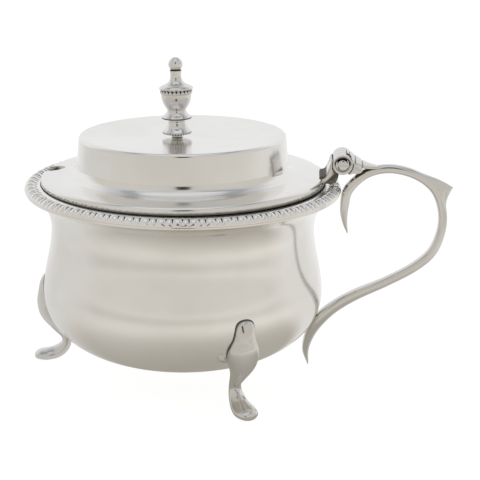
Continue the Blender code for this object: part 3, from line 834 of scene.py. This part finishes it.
def build_handle():
    """A cast scroll of rounded square section with a thorn on its outer side."""
    path = smooth_path(SCROLL_POINTS, 22)
    line = path[:, :2] * MM
    run = np.gradient(line, axis=0)
    run /= np.linalg.norm(run, axis=1, keepdims=True)
    outward = np.stack([-run[:, 1], run[:, 0]], axis=1)
    steps = np.linalg.norm(np.diff(line, axis=0), axis=1)
    travelled = np.concatenate([[0.0], np.cumsum(steps)])
    tip = np.argmin(np.hypot(*(line - np.array(THORN_TIP)).T))
    thorn = thorn_height(travelled - travelled[tip])
    turn = ring_angles(40)
    across, sideways = squared_circle(turn, power=0.72)
    outer = np.clip(across, 0.0, 1.0) ** 2.0
    thorn_thinning = 0.25 / (3.0 * MM)
    rings = []
    for centre, normal, part, height in zip(line, outward, path[:, 2], thorn):
        radius = HANDLE_RADIUS * max(part, 0.08)
        reach = radius * across + height * outer * (1.0 - np.abs(np.sin(turn)) ** 1.5)
        width = radius * HANDLE_WIDTH_RATIO * sideways * (1.0 - thorn_thinning * outer * height)
        xs = centre[0] + normal[0] * reach
        zs = centre[1] + normal[1] * reach
        rings.append(np.stack([xs, width, zs], axis=1))
    return place(lofted("handle_fine", rings, CAST_SILVER, sharp=75.0), "handle")


# ---- hinge


def around_pivot(angle, radius):
    """A point at an angle in degrees round the hinge's axis, 0 towards the handle."""
    turn = math.radians(angle)
    return (PIVOT.x + radius * math.cos(turn), PIVOT.z + radius * math.sin(turn))


def from_pivot(*points):
    """Points given in mm from the hinge's axis."""
    return [(PIVOT.x + x * MM, PIVOT.z + z * MM) for x, z in points]


def barrel_tool():
    """A rod that cuts the hinge barrel's room out of the strap behind it."""
    reach = BARREL_RADIUS + 0.12 * MM
    half = BARREL_LENGTH
    profile = [(0.0, half), (reach, half), (reach, -half), (0.0, -half)]
    return along_y(turned("barrel_tool", profile, CAST_SILVER, steps=96))


def build_bracket():
    """The block behind the barrel: a channel round the barrel that ends in a rounded lobe below."""
    channel = [around_pivot(angle, BARREL_RADIUS + 0.2 * MM) for angle in range(-60, 7, 6)]
    lobe = smooth_path(from_pivot(
        (3.1, 0.1), (3.9, -0.25), (4.65, -0.8), (4.75, -1.4),
        (4.2, -1.9), (3.4, -2.1), (2.5, -2.05), (1.9, -2.3),
    ), 5)
    outline = channel + [tuple(point) for point in lobe]
    bracket = extruded("hinge_bracket_fine", outline, BARREL_LENGTH / 2.0, CAST_SILVER, bevel=0.22 * MM)
    # Painted shade on the bracket's undersides
    return place(bracket, "hinge_bracket", darkening=on_undersides)


# The strap's sections in mm: x and z of its crown, its half-width and its thickness
SHELL_STATIONS = (
    (1.0, 2.75, 4.7, 1.4),
    (2.2, 2.0, 4.5, 1.3),
    (3.8, 0.9, 3.9, 1.2),
    (5.3, 0.0, 3.1, 1.1),
    (7.1, -0.65, 2.1, 0.9),
    (9.2, -1.1, 1.2, 0.6),
)


def near_eye(places, reach):
    """How near to the small eye at the end of the strap the places are."""
    return np.clip(2.0 - np.linalg.norm(places - np.array(EYE), axis=1) / reach, 0.0, 1.0)


def in_eye(places, normals):
    """Painted shade in and round the strap's eye, and on everything that looks down."""
    return np.maximum(on_undersides(places, normals), near_eye(places, 0.5 * MM))


def build_shell_cap():
    """A strap from the barrel down to the handle, with grooves across it, fine flutes and a drilled eye."""
    path = smooth_path(SHELL_STATIONS, 20)
    grooves = (1.6, 3.0, 4.75)
    groove_depth = 0.32
    groove_width = 0.13
    flutes = 9
    flute_depth = 0.1
    flutes_end = 6.5
    droop = 0.036
    across, upward = squared_circle(ring_angles(96), power=0.6)
    ridges = np.abs(np.cos(across * flutes * math.pi / 2.0))
    crown = upward > 0.0
    rings = []
    for x, z, half_width, thickness in path:
        dip = sum(groove_depth * math.exp(-((x - groove) / groove_width) ** 2) for groove in grooves)
        flute = flute_depth * np.clip((flutes_end - x) / 2.0, 0.0, 1.0)
        height = z - thickness / 2.0 + upward * thickness / 2.0
        height = height - (dip + flute * (1.0 - ridges)) * crown - droop * (across * half_width) ** 2
        width = across * (half_width - 0.4 * dip) * MM
        rings.append(np.stack([np.full_like(width, PIVOT.x + x * MM), width, PIVOT.z + height * MM], axis=1))
    shell = cut(lofted("hinge_shell_fine", rings, CAST_SILVER, sharp=60.0), barrel_tool())
    eye_radius = 0.5 * MM
    ball = turned("eye_tool", arc(0.0, 0.0, eye_radius, eye_radius, 90, -90, 12), CAST_SILVER, steps=24)
    shell = cut(shell, move(ball, Matrix.Translation(EYE)))
    return place(shell, "hinge_shell", reach=0.15 * MM, darkening=in_eye)


def along_y(thing, y=0.0):
    """Lays a piece turned about Z along the hinge's axis, its top towards the near side."""
    move(thing, Matrix.Rotation(math.radians(90), 4, "X"))
    return move(thing, Matrix.Translation((PIVOT.x, y, PIVOT.z)))


def build_knuckles():
    """Five lengths of tube with softened ends, three on the handle's side and two on the lid's.

    Their sides are cut into short rings, so that the painted shade round the strap's eye can end on them.
    """
    names = (
        "handle_knuckle_near",
        "lid_knuckle_near",
        "handle_knuckle_middle",
        "lid_knuckle_far",
        "handle_knuckle_far",
    )
    bore = 1.55 * MM
    recess_radius = 1.75 * MM
    soft = 0.12 * MM
    overlap = 0.06 * MM

    def in_recess(places, normals):
        """Painted shadow in the upper half of the recess round the pin, and painted shade round the strap's
        eye.
        """
        across = np.hypot(places[:, 0] - PIVOT.x, places[:, 2] - PIVOT.z)
        upper = np.clip((places[:, 2] - PIVOT.z) / MM + 0.6, 0.0, 1.0)
        return np.where(across < BARREL_RADIUS - 0.3 * MM, upper, near_eye(places, 0.38 * MM))

    for index, name in enumerate(names):
        low, high, half = node_size(name)
        length = half.y + overlap
        recess = 0.6 * MM if index in (0, len(names) - 1) else 0.0
        profile = [(bore, -length), (BARREL_RADIUS - soft, -length)]
        profile += arc(BARREL_RADIUS - soft, -length + soft, soft, soft, -90, 0, 4)
        profile += [(BARREL_RADIUS, height) for height in np.linspace(soft - length, length - soft, 12)[1:-1]]
        profile += arc(BARREL_RADIUS - soft, length - soft, soft, soft, 0, 90, 4)
        if recess:
            profile += [(recess_radius, length), (recess_radius, length - recess), (bore, length - recess)]
        else:
            profile += [(bore, length)]
        tube = turned(name + "_fine", profile, CAST_SILVER, steps=64)
        if index == len(names) - 1:
            move(tube, Matrix.Rotation(math.pi, 4, "X"))
        place(along_y(tube, (low.y + high.y) / 2.0), name, darkening=in_recess)


def build_pin():
    """The hinge pin with a riveted head in each end knuckle."""
    half = node_size("hinge_pin")[2].y + 0.2 * MM
    shank = 1.2 * MM
    head = 1.27 * MM
    dome = 0.25 * MM
    profile = [(0.0, half)] + arc(0.0, half - dome, head, dome, 80, 0, 8)
    profile += [(head, half - 0.8 * MM), (shank, half - 0.85 * MM)]
    lower = [(radius, -height) for radius, height in reversed(profile)]
    pin = turned("hinge_pin_fine", profile + lower, CAST_SILVER, steps=48)
    return place(along_y(pin), "hinge_pin")


def build_leaf():
    """The strap from the edge of the lid's flange up to the barrel, finely ribbed across its upper side."""
    channel = [around_pivot(angle, BARREL_RADIUS + 0.15 * MM) for angle in range(250, 164, -5)]
    upper = smooth_path(from_pivot((-2.7, 0.75), (-3.05, -0.3), (-3.5, -1.6), (-4.2, -2.8), (-5.4, -3.2)), 6)
    rib_height = 0.07 * MM
    ribbed = [(x - rib_height * (index % 2), z) for index, (x, z) in enumerate(upper)]
    under = from_pivot((-5.4, -3.9), (-4.1, -4.6), (-3.0, -4.7), (-1.9, -4.5), (-1.4, -4.1), (-1.0, -3.2))
    leaf = pillowed("lid_leaf_fine", under + channel, ribbed, BARREL_LENGTH / 2.0, 0.9 * MM, CAST_SILVER)

    def low_down(places, normals):
        """Painted shade on the undersides that lie well below the barrel."""
        return on_undersides(places, normals) * (places[:, 2] < PIVOT.z - 2.0 * MM)

    return place(leaf, "lid_leaf", reach=0.15 * MM, darkening=low_down)


# ---- lid


def lid_path():
    """The lid's outer side from the middle of its dished top to the rolled edge of its flange."""
    corner = 0.9 * MM
    path = []
    crown_steps = 18
    crown_end = DRUM_RADIUS - corner
    for index in range(crown_steps + 1):
        part = index / crown_steps
        path.append((crown_end * part, LID_CENTRE_HEIGHT + (LID_TOP_HEIGHT - LID_CENTRE_HEIGHT) * part ** 2))
    path += arc(crown_end, LID_TOP_HEIGHT - corner, corner, corner, 84, 6, 14)
    flange_height = LID_EDGE_HEIGHT + 1.0 * MM
    cove = FLANGE_INNER_RADIUS - DRUM_FOOT_RADIUS
    path += arc(FLANGE_INNER_RADIUS, flange_height + cove, cove, cove, 186, 266, 20)
    path += [(30.4 * MM, flange_height - 0.08 * MM), (32.0 * MM, flange_height - 0.25 * MM)]
    roll = 0.9 * MM
    path += arc(LID_RADIUS - roll, LID_EDGE_HEIGHT + 0.5 * MM - roll, roll, roll, 80, 0, 16)
    return path + [(LID_RADIUS, LID_EDGE_HEIGHT - 1.0 * MM)]


def notch_tool():
    """A rounded slot through the lid's flange and the bezel."""
    centre = LID_RADIUS - NOTCH_DEPTH + NOTCH_HALF_WIDTH
    end = LID_RADIUS + 6.0 * MM
    outline = arc(centre, 0.0, NOTCH_HALF_WIDTH, NOTCH_HALF_WIDTH, 90, 270, 24)
    outline = [(end, NOTCH_HALF_WIDTH)] + outline + [(end, -NOTCH_HALF_WIDTH)]
    heights = (LEDGE_HEIGHT - 4.0 * MM, LEDGE_HEIGHT + 4.0 * MM)
    rings = [[(x, y, height) for x, y in outline] for height in heights]
    return move(lofted("notch_tool", rings, BODY_SILVER), Matrix.Rotation(NOTCH_ANGLE, 4, "Z"))


def build_lid():
    """The lid of thin sheet with a solid edge, slotted for the spoon."""
    outer = np.array(lid_path())
    solid_edge = 33.0 * MM
    sheet = offset_path(outer[outer[:, 0] < solid_edge], -SHEET)
    sheet[0, 0] = 0.0
    bottom = outer[-1, 1]
    bead = [
        (LID_RADIUS - 0.15 * MM, bottom - 0.06 * MM),
        (LID_RADIUS - 0.7 * MM, bottom - 0.06 * MM),
        (LID_RADIUS - 1.1 * MM, bottom + 0.4 * MM),
    ]
    profile = np.vstack([outer, bead, sheet[::-1]])

    def even_gap(radii, heights, angles):
        """Deepens the flange's edge towards the hinge by half of what the slanted lid rises there."""
        rise = (LID_RADIUS + radii * np.cos(angles)) * math.sin(-LID_TILT)
        return radii, np.where(heights < bottom + 0.5 * MM, heights - rise / 2.0, heights)

    def under_flange(places, normals):
        """Painted shade on the part of the underside that faces the ledge."""
        radius = np.hypot(places[:, 0], places[:, 1])
        return np.where((radius > LEDGE_INNER_RADIUS) & (normals[:, 2] < -0.3), 1.0, 0.0)

    lid = cut(turned("lid_fine", profile, LID_SILVER, shape=even_gap), notch_tool())
    return place(lid, "lid", darkening=under_flange, slant=LID_SLANT)


def build_bezel():
    """The ring under the flange that centres the lid in the mouth."""
    radius = 33.4 * MM
    wall = 0.8 * MM
    top = LEDGE_HEIGHT + 0.3 * MM
    bottom = top - 2.3 * MM
    profile = [(radius - wall, top)]
    profile += arc(radius - wall / 2.0, bottom + wall / 2.0, wall / 2.0, wall / 2.0, 180, 360, 8)
    profile += [(radius, top)]
    bezel = cut(turned("lid_bezel_fine", profile, BODY_SILVER), notch_tool())

    def outer_side(places, normals):
        """Painted shade on the side that shows through the gap under the flange."""
        return np.where(np.hypot(places[:, 0], places[:, 1]) > radius - 0.1 * MM, 1.0, 0.0)

    return place(bezel, "lid_bezel", darkening=outer_side, slant=LID_SLANT)


# ---- finial


def finial_path():
    """The finial's outer side in mm above the lid, from the ball down to the beaded hem."""
    return {
        "ball": arc(0.0, 17.8, 1.75, 1.75, 90, -42, 18),
        "collar": [(1.15, 16.55), (1.1, 16.45), (1.38, 16.4), (1.45, 16.2), (1.42, 15.9)],
        "neck": [(1.33, 15.6), (1.33, 15.2)],
        "shoulder": smooth_path([(1.36, 14.6), (1.75, 13.7), (2.6, 13.05), (3.6, 12.6), (4.1, 12.25)], 6),
        "edge": [(4.14, 12.1), (4.14, 11.95), (4.05, 11.8), (3.82, 11.7)],
        "girdle": arc(3.62, 11.2, 0.36, 0.45, 80, -80, 10),
        "vase": smooth_path(
            [(3.72, 10.6), (3.66, 9.8), (3.4, 8.8), (2.85, 7.7), (2.35, 6.95), (2.28, 6.6)], 6,
        ),
        "flange": smooth_path([(2.4, 6.25), (2.8, 5.75), (3.3, 5.3), (3.62, 5.0)], 4),
        "waist": [(3.62, 4.7), (3.1, 4.55), (2.3, 4.4), (2.15, 4.1), (2.2, 3.6)],
        "skirt": smooth_path([(2.35, 3.1), (2.7, 2.5), (3.2, 1.95), (3.6, 1.5)], 5),
        "hem": arc(3.45, 1.25, 0.22, 0.25, 60, -90, 6),
    }


def build_finial():
    """The urn and the small pieces that hold it through the lid."""
    parts = finial_path()
    ends = dict(zip(parts, np.cumsum([len(part) for part in parts.values()])))
    under = [(1.7, 1.3), (1.7, 1.6), (1.0, 1.6), (1.0, 3.3), (0.0, 3.3)]
    profile = np.vstack([*parts.values(), under]) * MM

    def beads(radii, heights, angles):
        """Sinks the valleys between the beads; row 0 is the profile's second point, off the axis."""
        for part, count, depth in (("girdle", GIRDLE_BEADS, 0.35 * MM), ("hem", HEM_BEADS, 0.2 * MM)):
            length = len(parts[part])
            rows = slice(ends[part] - length - 1, ends[part] - 1)
            steps = np.linspace(0.0, math.pi, length)[:, None]
            valley = 1.0 - np.abs(np.cos(angles[None, :] * count / 2.0)) ** 0.6
            radii[rows] -= depth * np.sin(steps) * valley
        return radii, heights

    def in_grooves(places, normals):
        """Darkening under the ball, round the flange's edge and between the beads, in mm above the lid."""
        height = places[:, 2] / MM
        around = np.arctan2(places[:, 1], places[:, 0])
        dark = np.zeros(len(height))
        for groove, reach in ((16.5, 0.2), (4.82, 0.16)):
            dark = np.maximum(dark, np.clip(1.6 - np.abs(height - groove) / reach, 0.0, 1.0))
        for beading, reach, count in ((11.55, 0.35, GIRDLE_BEADS), (1.15, 0.15, HEM_BEADS)):
            between = 1.0 - np.abs(np.cos(around * count / 2.0)) ** 0.8
            near = np.clip(1.5 - np.abs(height - beading) / reach, 0.0, 1.0)
            dark = np.maximum(dark, near * between * 1.6)
        return dark

    finial = turned("finial_fine", profile, FINIAL_SILVER, steps=HEM_BEADS * 8, shape=beads, sharp=50.0)
    small = {
        "finial": finial,
        "finial_collar": build_collar(),
        "finial_washer": build_washer(),
        "finial_nut": build_nut(),
        "finial_stud": build_stud(),
    }
    foot = Matrix.Translation((FINIAL_OFFSET, 0.0, LID_CENTRE_HEIGHT)) @ Matrix.Rotation(FINIAL_LEAN, 4, "Y")
    for name, thing in small.items():
        darkening = in_grooves if name == "finial" else None
        place(thing, name, reach=0.12 * MM, darkening=darkening, slant=LID_SLANT @ foot)


def build_collar():
    """The small spool that carries the finial."""
    profile = arc(1.15 * MM, 1.15 * MM, 0.25 * MM, 0.3 * MM, 90, -40, 6)
    profile += arc(1.2 * MM, 0.3 * MM, 0.3 * MM, 0.3 * MM, 50, -60, 8)
    profile = [(1.0 * MM, 1.4 * MM)] + profile + [(1.0 * MM, 0.05 * MM)]
    return turned("finial_collar_fine", profile, FINIAL_SILVER, steps=64)


def build_washer():
    """The round-edged washer under the lid."""
    top = -SHEET - 0.3 * MM
    half_thickness = 0.25 * MM
    bore = 1.0 * MM
    soft = 0.15 * MM
    flat = 3.0 * MM - soft
    profile = [(bore, top), (flat, top)]
    profile += arc(flat, top - half_thickness, soft, half_thickness, 90, -90, 6)
    profile += [(bore, top - 2.0 * half_thickness)]
    return turned("finial_washer_fine", profile, FINIAL_SILVER, steps=72)


def build_nut():
    """A hexagon nut, its corners taken off by a cone on both faces."""
    top = -SHEET - 1.1 * MM
    bottom = top - 1.4 * MM
    radius = 2.2 * MM
    bore = 1.0 * MM
    face = 1.85 * MM
    profile = [(bore, top), (face, top), (radius, top - 0.2 * MM), (radius, bottom + 0.2 * MM)]
    profile += [(face, bottom), (bore, bottom)]

    def hexagon(radii, heights, angles):
        half_side = math.pi / 6.0
        flat = math.cos(half_side) / np.cos((angles + half_side) % (2.0 * half_side) - half_side)
        return np.minimum(radii, radius * flat[None, :]), heights

    return turned("finial_nut_fine", profile, BRASS, steps=72, shape=hexagon, sharp=25.0)


def build_stud():
    """The threaded stud that the nut runs on."""
    top = 3.0 * MM
    bottom = -SHEET - 3.1 * MM
    pitch = 0.35 * MM
    radius = 0.7 * MM
    depth = 0.12 * MM
    turns = int((top - bottom) / pitch)
    profile = [(0.0, top)]
    for index in range(turns):
        height = top - index * pitch
        profile += [(radius - depth, height), (radius, height - pitch / 2.0)]
    profile += [(radius - depth, bottom), (0.0, bottom)]
    return turned("finial_stud_fine", profile, BRASS, steps=40, sharp=70.0)


# ---- assembly

bpy.context.scene.view_settings.view_transform = "Standard"
add_camera()
add_world()
add_floor()
add_softbox("softbox_top", azimuth=-20.0, elevation=78.0, distance=0.7, size=(0.6, 0.6), power=0.2)

BODY_SILVER = silver("silver_body", (0.1, 0.17))
LID_SILVER = silver("silver_lid", (0.13, 0.17), tone=0.96, hammering=0.006 * MM)
RIM_SILVER = silver("silver_rim", (0.12, 0.24), hammering=0.002 * MM, tarnish_and_shade=0.95)
CAST_SILVER = silver("silver_cast", (0.09, 0.16), tone=0.82, hammering=0.01 * MM, tarnish_and_shade=0.9)
FINIAL_SILVER = silver("silver_finial", (0.03, 0.08), tone=0.88, hammering=0.002 * MM, tarnish_and_shade=0.95)
BRASS = brass("brass_turned")
GLASS = cobalt_glass("glass_cobalt")

build_pot()
build_rim()
build_liner()
for leg_name, leg_angle in LEG_ANGLES.items():
    build_leg(leg_name, leg_angle)
build_handle()
build_bracket()
build_shell_cap()
build_knuckles()
build_pin()
build_lid()
build_bezel()
build_leaf()
build_finial()
